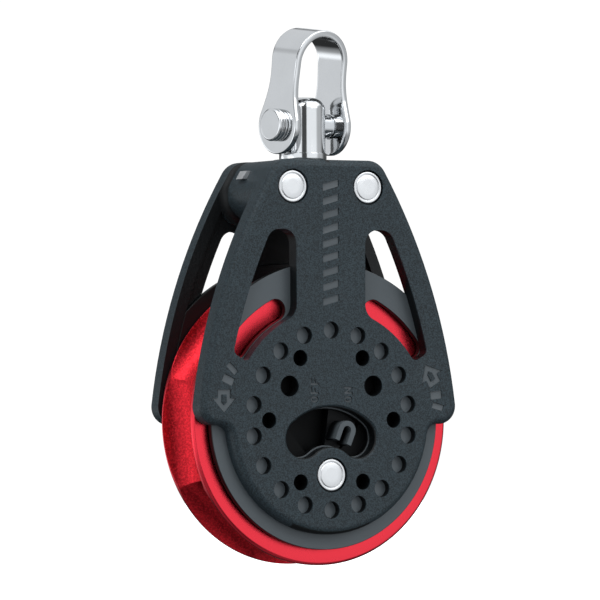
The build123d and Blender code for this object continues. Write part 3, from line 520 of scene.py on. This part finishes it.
def turned_tree(name, faceted):
    """Turns a profile about Z; a faceted wheel's groove rows follow its flats."""
    tree, kit, given = new_tree(name, TURNED_INPUTS)
    profile = given["Geometry"]
    rows = kit.get("GeometryNodeAttributeDomainSize", {"component": "MESH"}, {0: profile}, "Point Count")
    grid = kit.add(
        "GeometryNodeMeshGrid",
        {},
        {"Size X": 1.0, "Size Y": 1.0, "Vertices X": given["Columns"] + 1, "Vertices Y": rows},
    )
    shape = Num(kit, grid.outputs["Mesh"])
    spot = kit.get("GeometryNodeInputPosition")
    turn = (kit.axis(spot, "X") + 0.5) * (2 * math.pi)
    row = kit.math("ROUND", (kit.axis(spot, "Y") + 0.5) * (rows - 1))
    sample = kit.get(
        "GeometryNodeSampleIndex",
        {"data_type": "FLOAT_VECTOR", "domain": "POINT"},
        {0: profile, "Value": kit.get("GeometryNodeInputPosition"), "Index": row},
    )
    radius = kit.axis(sample, "X")
    height = kit.axis(sample, "Y")
    if faceted:
        share = kit.axis(sample, "Z")
        sector = 2 * math.pi / given["Facets"]
        bend = (turn - given["First Facet"] + sector / 2) % sector - sector / 2
        lean = kit.math("COSINE", bend)
        squared = given["Groove Radius"] ** 2
        edge = kit.math("SQRT", squared - (given["Groove Reach"] - given["Rim Radius"] * lean) ** 2)
        in_groove = abs(share) < 1.5
        across = edge * kit.math("SINE", share * (math.pi / 2))
        below_centre = kit.math("SQRT", kit.math("MAXIMUM", squared - across**2))
        bottom = (given["Groove Reach"] - below_centre) / lean
        on_edge = (abs(share) > 1.5) * (abs(share) < 2.5)
        side = kit.math("SIGN", share)
        beside = side * (edge + 0.12 * MM)
        radius = radius * (1 - in_groove) + kit.math("MINIMUM", bottom, given["Rim Radius"]) * in_groove
        height = height * (1 - in_groove) * (1 - on_edge) + across * in_groove + beside * on_edge
        shape = kit.get(
            "GeometryNodeStoreNamedAttribute",
            {"data_type": "FLOAT", "domain": "POINT"},
            {"Geometry": shape, "Name": "tread", "Value": abs(share) < 0.99},
        )
    place = kit.get(
        "ShaderNodeCombineXYZ",
        {},
        {0: radius * kit.math("COSINE", turn), 1: radius * kit.math("SINE", turn), 2: height},
    )
    shape = kit.get("GeometryNodeSetPosition", {}, {"Geometry": shape, "Position": place})
    shape = kit.get("GeometryNodeMergeByDistance", {}, {"Geometry": shape, "Distance": 1e-7})
    close_tree(kit, shape, given["Material"])
    return tree


def outward(mesh):
    """Turns a closed mesh's faces outwards and clears faces without area."""
    grown = bmesh.new()
    grown.from_mesh(mesh)
    bmesh.ops.dissolve_degenerate(grown, dist=1e-8, edges=grown.edges)
    bmesh.ops.recalc_face_normals(grown, faces=grown.faces)
    grown.to_mesh(mesh)
    grown.free()


def turned(name, points, columns, material, place, angle=30):
    """A plain turned piece: its profile about Z, then moved by a matrix."""
    tree = turned_tree(f"turn_{name}", False)
    mesh = run_tree(tree, profile_mesh(points, name), {"Columns": columns, "Material": material}, name)
    outward(mesh)
    mesh.transform(place)
    finish_mesh(mesh, angle)
    return mesh


# ------------------------------------------------------------------ settings
class BlockFinish(bpy.types.PropertyGroup):
    """Colours and surface of the block."""

    shell: FloatVectorProperty(
        name="Shell", description="Colour of the cheeks", default=(0.021, 0.033, 0.040),
        subtype="COLOR", size=3, min=0, max=1)
    guard: FloatVectorProperty(
        name="Guard", description="Colour of the guards and the switch", default=(0.098, 0.115, 0.126),
        subtype="COLOR", size=3, min=0, max=1)
    wheel: FloatVectorProperty(
        name="Wheel", description="Colour of the anodised wheel", default=(0.8, 0.028, 0.042),
        subtype="COLOR", size=3, min=0, max=1)
    steel: FloatVectorProperty(
        name="Steel", description="Colour of the stainless steel", default=(0.8, 0.81, 0.82),
        subtype="COLOR", size=3, min=0, max=1)
    grain: FloatProperty(
        name="Grain", description="Size of the shell's spark grain", default=0.26 * MM,
        min=0.1 * MM, max=2 * MM, unit="LENGTH", subtype="DISTANCE", precision=5)


class BlockSizes(bpy.types.PropertyGroup):
    """Sizes of the wheel and of the worked edges."""

    facets: IntProperty(
        name="Facets", description="Flat sides of the line groove", default=8, min=5, max=16)
    groove_radius: FloatProperty(
        name="Groove radius", description="Radius of the line groove across the wheel",
        default=5.9 * MM, unit="LENGTH", subtype="DISTANCE", precision=5)
    groove_depth: FloatProperty(
        name="Groove depth", description="Depth of the line groove at the middle of a flat",
        default=5.1 * MM, unit="LENGTH", subtype="DISTANCE", precision=5)
    edge: FloatProperty(
        name="Shell edge", description="Rounding of the shell's window and hole edges",
        default=0.22 * MM, min=0.02 * MM, max=0.5 * MM, unit="LENGTH", subtype="DISTANCE", precision=5)


# ------------------------------------------------------------------ pieces
class BLOCK_OT_shell(bpy.types.Operator):
    """Cheeks with softened edges and a spark grain"""

    bl_idname = "block.shell"
    bl_label = "Shell"

    def execute(self, context):
        edge = context.scene.block_sizes.edge / MM
        for side in ("front", "rear"):
            mesh = softened(f"{side}_cheek", f"{side}_shell", edge, 3, finish("shell"), shallow)
            settle(f"{side}_shell", mesh, "shell", "cheek", f"{side}_cheek")
        return {"FINISHED"}


class BLOCK_OT_guards(bpy.types.Operator):
    """Smooth guard plates behind the cheeks"""

    bl_idname = "block.guards"
    bl_label = "Guards"

    def execute(self, context):
        for side in ("front", "rear"):
            mesh = softened(f"{side}_guard", f"{side}_guard_plate", 0.2, 3, finish("guard"), nothing)
            settle(f"{side}_guard_plate", mesh, "shell", "guard", f"{side}_guard")
        return {"FINISHED"}


class BLOCK_OT_wheel(bpy.types.Operator):
    """Red wheel with an eight-sided blasted groove, turned sides and a plain bore without races"""

    bl_idname = "block.wheel"
    bl_label = "Wheel"

    def execute(self, context):
        sizes = context.scene.block_sizes
        low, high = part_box("sheave")
        rim = (high.x - low.x) / 2 / MM
        half = (high.y - low.y) / 2 / MM
        hub = WHEEL_BORE + 1.2
        flange = rim - 6.6
        sunk = half - 0.6
        corner = 0.45
        side = [(WHEEL_BORE, 1.95), (WHEEL_BORE, half), (hub, half), (hub, sunk)]
        side += [(flange, sunk), (flange, half), (rim - corner, half), (rim, half - corner)]
        flank = rounded(side + [(rim, half - 0.7)], 0.14)
        rows = 36
        stations = [(radius, height, 3.0) for radius, height in flank]
        stations += [(rim, 0.0, 2.0)]
        stations += [(rim, 0.0, 1 - 2 * step / rows) for step in range(rows + 1)]
        stations += [(rim, 0.0, -2.0)]
        stations += [(radius, -height, -3.0) for radius, height in reversed(flank)]
        stations += [stations[0]]
        base = bpy.data.meshes.new("wheel_profile")
        spots = [(radius * MM, height * MM, share) for radius, height, share in stations]
        base.from_pydata(spots, [], [])
        reach = rim * MM - sizes.groove_depth + sizes.groove_radius
        values = {
            "Columns": sizes.facets * 44,
            "Facets": sizes.facets,
            "First Facet": math.radians(FACET_TURN),
            "Groove Radius": sizes.groove_radius,
            "Groove Reach": reach,
            "Rim Radius": rim * MM,
            "Material": finish("red"),
        }
        mesh = run_tree(turned_tree("faceted_wheel", True), base, values, "wheel")
        outward(mesh)
        mesh.transform(WHEEL_TURN)
        finish_mesh(mesh, 19)
        settle("wheel", mesh, "wheel", "anodised", "sheave")
        return {"FINISHED"}


class BLOCK_OT_rivets(bpy.types.Operator):
    """Through rivets with low domed heads"""

    bl_idname = "block.rivets"
    bl_label = "Rivets"

    def execute(self, context):
        for node, (shank, places) in RIVET_PLACES.items():
            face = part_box(node)[1].y / MM
            head = 3.15
            upper = [(shank, 0.0), (shank, face - 0.95), (head, face - 0.95), (head, face - 0.26)]
            upper += [(head - 0.16, face - 0.1), (head - 0.5, face - 0.1), (head - 0.62, face - 0.26)]
            upper += [(head - 0.78, face - 0.08), (head * 0.45, face), (0.0, face)]
            half = rounded(upper, 0.08)
            points = [(radius, -height) for radius, height in reversed(half[1:])] + half
            tree, kit, given = new_tree(f"{node}_row", (
                ("Count", "NodeSocketInt", 1),
                ("Start", "NodeSocketVector", (0, 0, 0)),
                ("Step", "NodeSocketVector", (0, 0, 0)),
                ("Material", "NodeSocketMaterial", None),
            ))
            line = kit.get(
                "GeometryNodeMeshLine",
                {},
                {"Count": given["Count"], "Start Location": given["Start"], "Offset": given["Step"]},
            )
            sockets = {"Points": line, "Instance": given["Geometry"]}
            rivets = kit.get("GeometryNodeInstanceOnPoints", {}, sockets)
            close_tree(kit, rivets, given["Material"])
            blank = turned(f"{node}_one", points, 72, finish("satin"), WHEEL_TURN)
            start = Vector((places[0][0], 0, places[0][1])) * MM
            end = Vector((places[-1][0], 0, places[-1][1])) * MM
            values = {
                "Count": len(places),
                "Start": tuple(start),
                "Step": tuple(end - start),
                "Material": finish("satin"),
            }
            mesh = run_tree(tree, blank, values, f"{node}_set")
            finish_mesh(mesh, 30)
            settle(f"{node}_set", mesh, "shell", "rivet", node)
        return {"FINISHED"}


class BLOCK_OT_post(bpy.types.Operator):
    """Polished swivelling post with its collar, solid where the pin passes"""

    bl_idname = "block.post"
    bl_label = "Post"

    def execute(self, context):
        low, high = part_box("head_post")
        top = high.z / MM
        floor = low.z / MM
        flange, shank, ring, eye = 5.5, 3.3, 4.7, 4.45
        seat = floor + 2.2
        collar = 51.3
        neck = collar + 1.3
        crown = 2.4
        steps = 12
        corners = [(0.0, floor), (flange, floor), (flange, seat), (shank, seat), (shank, collar)]
        corners += [(ring, collar), (ring, neck), (eye, neck), (eye, top - crown)]
        stem = rounded(corners, 0.22)
        for step in range(1, steps + 1):
            turn = math.radians(90 * step / steps)
            stem.append((eye - crown + crown * math.cos(turn), top - crown + crown * math.sin(turn)))
        stem.append((0.0, top))
        mesh = turned("swivel_post", stem, 192, finish("polished"), Matrix.Identity(4))
        settle("swivel_post", mesh, "post", "polished", "head_post")
        return {"FINISHED"}


def shackle_place():
    """Where the shackle hangs: its pin's axis along X, turned and leaned on the post."""
    turn = Matrix.Rotation(SWIVEL, 4, "Z")
    lean = Matrix.Rotation(math.radians(SHACKLE_LEAN), 4, "X")
    side = Matrix.Translation((0.55 * MM, 0, 0))
    return Matrix.Translation((0, 0, SHACKLE_HEIGHT * MM)) @ turn @ lean @ side


class BLOCK_OT_pin(bpy.types.Operator):
    """Shackle pin with a grooved flat head"""

    bl_idname = "block.pin"
    bl_label = "Pin"

    def execute(self, context):
        inner = 7.2
        face = inner + 1.8
        end = -inner - 0.4
        groove = face - 0.9
        shank, head, bevel = 2.35, 3.25, 0.35
        corners = [(0.0, end), (1.95, end), (shank, end + 0.4), (shank, inner), (head, inner)]
        corners += [(head, groove - 0.3), (2.95, groove), (head, groove + 0.02)]
        corners += [(head, face - bevel), (head - bevel, face), (0.0, face)]
        points = rounded(corners, 0.12)
        along = Matrix.Rotation(math.radians(-90), 4, "Y")
        mesh = turned("clevis_pin", points, 96, finish("polished"), shackle_place() @ along)
        settle("clevis_pin", mesh, "shackle", "polished", "shackle_pin")
        return {"FINISHED"}


def hermite(start, end, leave, arrive, t):
    """A point on a smooth curve between two points with given end directions."""
    squared, cubed = t * t, t**3
    return (
        start * (2 * cubed - 3 * squared + 1)
        + leave * (cubed - 2 * squared + t)
        + end * (3 * squared - 2 * cubed)
        + arrive * (cubed - squared)
    )


class BLOCK_OT_strap(bpy.types.Operator):
    """Shackle bent from one polished strap: two eyes, a waist and a round bow"""

    bl_idname = "block.strap"
    bl_label = "Strap"

    eye = 5.75
    hole = 2.4
    half = 7.2
    bow = 6.6
    rise = 19.2
    thickness = 1.35

    def flank(self):
        """Half widths of the strap by height, from the eye to above the bow."""
        turn = math.radians(20)
        foot = Vector((self.eye * math.cos(turn), self.eye * math.sin(turn)))
        waist = Vector((3.75, 9.5))
        top = Vector((4.2, 20.2))
        leave = Vector((-math.sin(turn), math.cos(turn))) * 7.5
        middle = Vector((0.0, 8.6))
        points = [hermite(foot, waist, leave, middle, step / 24) for step in range(24)]
        points += [hermite(waist, top, middle, Vector((0.0, 10.7)), step / 24) for step in range(25)]
        return points

    def width_at(self, height):
        points = self.flank_points
        for low, high in zip(points, points[1:]):
            if low.y <= height <= high.y:
                return low.x + (high.x - low.x) * (height - low.y) / (high.y - low.y)
        return points[-1].x

    def leg_x(self, height):
        """Outer face of the right leg at a height below the bow."""
        spring = self.rise - self.bow
        t = min(1.0, max(0.0, height / spring))
        return self.half - (self.half - self.bow) * t * t * (3 - 2 * t)

    def execute(self, context):
        self.flank_points = self.flank()
        grown = bmesh.new()
        across = 16
        chord = 5.0
        wide = self.width_at(chord)
        rim = [(wide * (2 * step / across - 1), chord) for step in range(across + 1)]
        flank = [(self.width_at(h), h) for h in (4.4, 3.8, 3.2, 2.6, 2.1)]
        arc = [math.radians(20 - 220 * step / 44) for step in range(45)]
        round_part = [(self.eye * math.cos(turn), self.eye * math.sin(turn)) for turn in arc]
        loop = rim + flank + round_part + [(-x, y) for x, y in reversed(flank)]
        spring = self.rise - self.bow
        rows = {}
        for side in (-1, 1):
            rings = []
            for share in (0.0, 0.12, 0.35, 0.6, 0.82, 1.0):
                ring = []
                for x, y in loop:
                    start = Vector((x, y)).normalized() * self.hole
                    spot = start.lerp(Vector((x, y)), share)
                    ring.append(grown.verts.new((side * self.leg_x(spot.y), spot.x, spot.y)))
                rings.append(ring)
            for inner, outer in zip(rings, rings[1:]):
                for i in range(len(loop)):
                    j = (i + 1) % len(loop)
                    grown.faces.new((inner[i], inner[j], outer[j], outer[i]))
            strip = [rings[-1][: across + 1]]
            steps = 14
            for step in range(1, steps + 1):
                height = chord + (spring - chord) * step / steps
                wide = self.width_at(height)
                spots = [wide * (2 * k / across - 1) for k in range(across + 1)]
                strip.append([grown.verts.new((side * self.leg_x(height), y, height)) for y in spots])
            rows[side] = strip
        arch = []
        steps = 40
        for step in range(1, steps):
            turn = math.pi * step / steps
            height = spring + self.bow * math.sin(turn)
            wide = self.width_at(height)
            spots = [wide * (2 * k / across - 1) for k in range(across + 1)]
            x = self.bow * math.cos(turn)
            arch.append([grown.verts.new((x, y, height)) for y in spots])
        run = rows[1] + arch + list(reversed(rows[-1]))
        for low, high in zip(run, run[1:]):
            for k in range(across):
                grown.faces.new((low[k], low[k + 1], high[k + 1], high[k]))
        bmesh.ops.recalc_face_normals(grown, faces=grown.faces)
        bmesh.ops.scale(grown, vec=(MM, MM, MM), verts=grown.verts)
        mesh = bpy.data.meshes.new("strap_sheet")
        grown.to_mesh(mesh)
        grown.free()
        middle = Vector((0, 0, 10 * MM))
        if (mesh.polygons[0].center - middle).dot(mesh.polygons[0].normal) < 0:
            mesh.flip_normals()
        helper = bpy.data.objects.new("strap_blank", mesh)
        context.scene.collection.objects.link(helper)
        wall = helper.modifiers.new("wall", "SOLIDIFY")
        wall.thickness = self.thickness * MM
        wall.offset = -1.0
        wall.use_even_offset = True
        bevel = helper.modifiers.new("edges", "BEVEL")
        bevel.width = 0.24 * MM
        bevel.segments = 3
        bevel.limit_method = "ANGLE"
        bevel.angle_limit = math.radians(50)
        made = plain_mesh(helper, "strap")
        made.materials.clear()
        made.materials.append(finish("polished"))
        made.transform(shackle_place())
        finish_mesh(made, 40)
        settle("strap", made, "shackle", "polished", "shackle_strap")
        return {"FINISHED"}


class BLOCK_OT_switch(bpy.types.Operator):
    """Ratchet switch with its hairpin grip, and the lock clip"""

    bl_idname = "block.switch"
    bl_label = "Switch and clip"

    def execute(self, context):
        mesh = softened("ratchet_switch", "switch_lever", 0.22, 3, finish("switch"), nothing)
        settle("switch_lever", mesh, "switch", "switch", "ratchet_switch")
        mesh = softened("swivel_lock_clip", "lock_clip", 0.15, 2, finish("satin"), nothing)
        settle("lock_clip", mesh, "shell", "rivet", "swivel_lock_clip")
        return {"FINISHED"}


class BLOCK_OT_inside(bpy.types.Operator):
    """Finishes for the hub, bearings, pawls and springs"""

    bl_idname = "block.inside"
    bl_label = "Inside"

    def execute(self, context):
        kinds = {
            "hard": ["ratchet_ring", "left_pawl", "right_pawl", "left_pawl_pin", "right_pawl_pin",
                     "left_pawl_spring", "right_pawl_spring"],
            "white": ["front_balls", "rear_balls", "thrust_washer"],
            "black": ["front_ball_cage", "rear_ball_cage", "front_hub", "rear_hub", "hub_dowels"],
        }
        for kind, nodes in kinds.items():
            for node in nodes:
                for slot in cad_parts[node].material_slots:
                    slot.material = finish(kind)
        return {"FINISHED"}


# ------------------------------------------------------------------ studio
def glow(name, colour, strength):
    """A plain light-giving material for the backdrop."""
    material = bpy.data.materials.new(name)
    material.use_nodes = True
    material.node_tree.nodes.clear()
    kit = Kit(material.node_tree)
    light = kit.get("ShaderNodeEmission", {}, {"Color": (*colour, 1.0), "Strength": strength})
    kit.add("ShaderNodeOutputMaterial", {}, {"Surface": light})
    return material


def softbox(name, azimuth, elevation, distance, size, power, colour=(1, 1, 1)):
    """A square area light that faces the block from a direction round it."""
    turn, rise = math.radians(azimuth), math.radians(elevation)
    toward = Vector((
        math.sin(turn) * math.cos(rise), -math.cos(turn) * math.cos(rise), math.sin(rise)))
    middle = Vector((0, 0, 0.025))
    light = bpy.data.lights.new(name, "AREA")
    light.shape = "RECTANGLE"
    light.size, light.size_y = size
    light.energy = power
    light.color = colour
    lamp = bpy.data.objects.new(name, light)
    lamp.location = middle + toward * distance
    lamp.rotation_euler = toward.to_track_quat("Z", "Y").to_euler()
    bpy.context.scene.collection.objects.link(lamp)
    return lamp


def studio_world():
    """A pale studio: lit in front, low behind and low left, dark high left and on the right."""
    world = bpy.data.worlds.new("studio")
    world.use_nodes = True
    world.node_tree.nodes.clear()
    kit = Kit(world.node_tree)
    way = kit.get("ShaderNodeTexCoord", {}, {}, "Generated")

    def along(x, y, z):
        sockets = {0: way, 1: (x, y, z)}
        return kit.get("ShaderNodeVectorMath", {"operation": "DOT_PRODUCT"}, sockets, "Value")

    def toward(x, y, z, low, high):
        return kit.clip(along(x, y, z), low, high)

    up = kit.axis(way, "Z")
    front = toward(-0.2, -0.98, 0.0, -0.35, 0.15)
    behind = toward(-0.77, 0.64, 0.0, 0.86, 0.95)
    low_band = toward(-0.46, 0.86, -0.24, 0.93, 0.985)
    round_about = 0.1 + 0.92 * front + 0.64 * behind + 1.0 * low_band
    floor = 0.3 + 0.7 * kit.clip(up, -0.5, -0.16)
    low_left = toward(-0.97, 0.01, -0.23, 0.92, 0.985)
    high_left = toward(-0.86, 0.04, 0.51, 0.86, 0.96)
    crest = toward(0.5, 0.85, 0.16, 0.968, 0.995)
    level = round_about * floor + 0.62 * kit.clip(up, 0.36, 0.56) + 0.6 * crest
    level = level * (1 - 0.95 * high_left) + 0.9 * low_left
    strip = (1 - kit.clip(abs(along(0.93, -0.37, 0)), 0.17, 0.25)) * toward(-0.37, -0.93, 0.0, 0.2, 0.4)
    level = level * (1 - 0.93 * strip) * (1 - 0.5 * toward(0.95, -0.31, 0.0, 0.84, 0.95))
    light = kit.get("ShaderNodeBackground", {}, {"Color": (0.94, 0.97, 1.0, 1.0), "Strength": level})
    kit.add("ShaderNodeOutputWorld", {}, {"Surface": light})
    return world


class BLOCK_OT_stage(bpy.types.Operator):
    """Pale floor, white backdrop, soft boxes and the camera"""

    bl_idname = "block.stage"
    bl_label = "Stage"

    def execute(self, context):
        scene = context.scene
        floor_mesh = bpy.data.meshes.new("floor")
        reach = 2.9
        level = -0.075
        corners = [(-reach, -reach), (reach, -reach), (reach, reach), (-reach, reach)]
        floor_mesh.from_pydata([(x, y, level) for x, y in corners], [], [(0, 1, 2, 3)])
        floor = bpy.data.objects.new("floor", floor_mesh)
        scene.collection.objects.link(floor)
        paint, kit, shader, place = new_finish("pale_floor")
        tone = kit.mix(kit.noise(place, 400.0, 2.0), (0.9, 0.9, 0.9, 1.0), (0.94, 0.94, 0.94, 1.0))
        feed(kit, shader, {"Base Color": tone, "Roughness": 0.9})
        shader.inputs["Emission Color"].default_value = (1, 1, 1, 1)
        shader.inputs["Emission Strength"].default_value = 0.85
        floor_mesh.materials.append(paint)
        floor.visible_glossy = False
        floor.visible_diffuse = False

        dome_mesh = bpy.data.meshes.new("backdrop")
        grown = bmesh.new()
        bmesh.ops.create_uvsphere(grown, u_segments=48, v_segments=24, radius=4.2)
        bmesh.ops.reverse_faces(grown, faces=grown.faces)
        grown.to_mesh(dome_mesh)
        grown.free()
        dome_mesh.materials.append(glow("backdrop_white", (1, 1, 1), 1.05))
        dome = bpy.data.objects.new("backdrop", dome_mesh)
        scene.collection.objects.link(dome)
        dome.visible_glossy = False
        dome.visible_diffuse = False
        dome.visible_shadow = False
        dome.visible_transmission = False

        scene.world = studio_world()
        softbox("key_box", -50, 52, 1.1, (0.8, 0.6), 3.0)
        softbox("front_box", 35, 30, 1.4, (0.9, 0.7), 2.5)

        lens = bpy.data.cameras.new("camera")
        lens.lens = 324.4
        lens.sensor_width = 36.0
        lens.clip_start, lens.clip_end = 0.05, 20.0
        camera = bpy.data.objects.new("camera", lens)
        scene.collection.objects.link(camera)
        spot = Vector((-0.5248, -0.9294, 0.0027))
        aim = Vector((-0.007043, -0.0111, 0.02344))
        look = (aim - spot).to_track_quat("-Z", "Y").to_matrix().to_4x4()
        roll = Matrix.Rotation(math.radians(-0.236), 4, "Z")
        camera.matrix_world = Matrix.Translation(spot) @ look @ roll
        scene.camera = camera
        scene.view_settings.view_transform = "Standard"
        return {"FINISHED"}


class BLOCK_PT_panel(bpy.types.Panel):
    """Sidebar panel of the block"""

    bl_idname = "BLOCK_PT_panel"
    bl_label = "Ratchet Block"
    bl_space_type = "VIEW_3D"
    bl_region_type = "UI"
    bl_category = "Block"

    def draw(self, context):
        for group in (context.scene.block_finish, context.scene.block_sizes):
            for name in group.__annotations__:
                self.layout.prop(group, name)
        for operator in STEPS:
            self.layout.operator(operator.bl_idname)


STEPS = (
    BLOCK_OT_stage,
    BLOCK_OT_shell,
    BLOCK_OT_guards,
    BLOCK_OT_wheel,
    BLOCK_OT_rivets,
    BLOCK_OT_post,
    BLOCK_OT_pin,
    BLOCK_OT_strap,
    BLOCK_OT_switch,
    BLOCK_OT_inside,
)
CLASSES = (BlockFinish, BlockSizes, *STEPS, BLOCK_PT_panel)


def register():
    for entry in CLASSES:
        bpy.utils.register_class(entry)
    bpy.types.Scene.block_finish = PointerProperty(type=BlockFinish)
    bpy.types.Scene.block_sizes = PointerProperty(type=BlockSizes)


def unregister():
    del bpy.types.Scene.block_finish
    del bpy.types.Scene.block_sizes
    for entry in reversed(CLASSES):
        bpy.utils.unregister_class(entry)


def main():
    register()
    for step in STEPS:
        group, name = step.bl_idname.split(".")
        getattr(getattr(bpy.ops, group), name)()


if __name__ == "__main__":
    main()
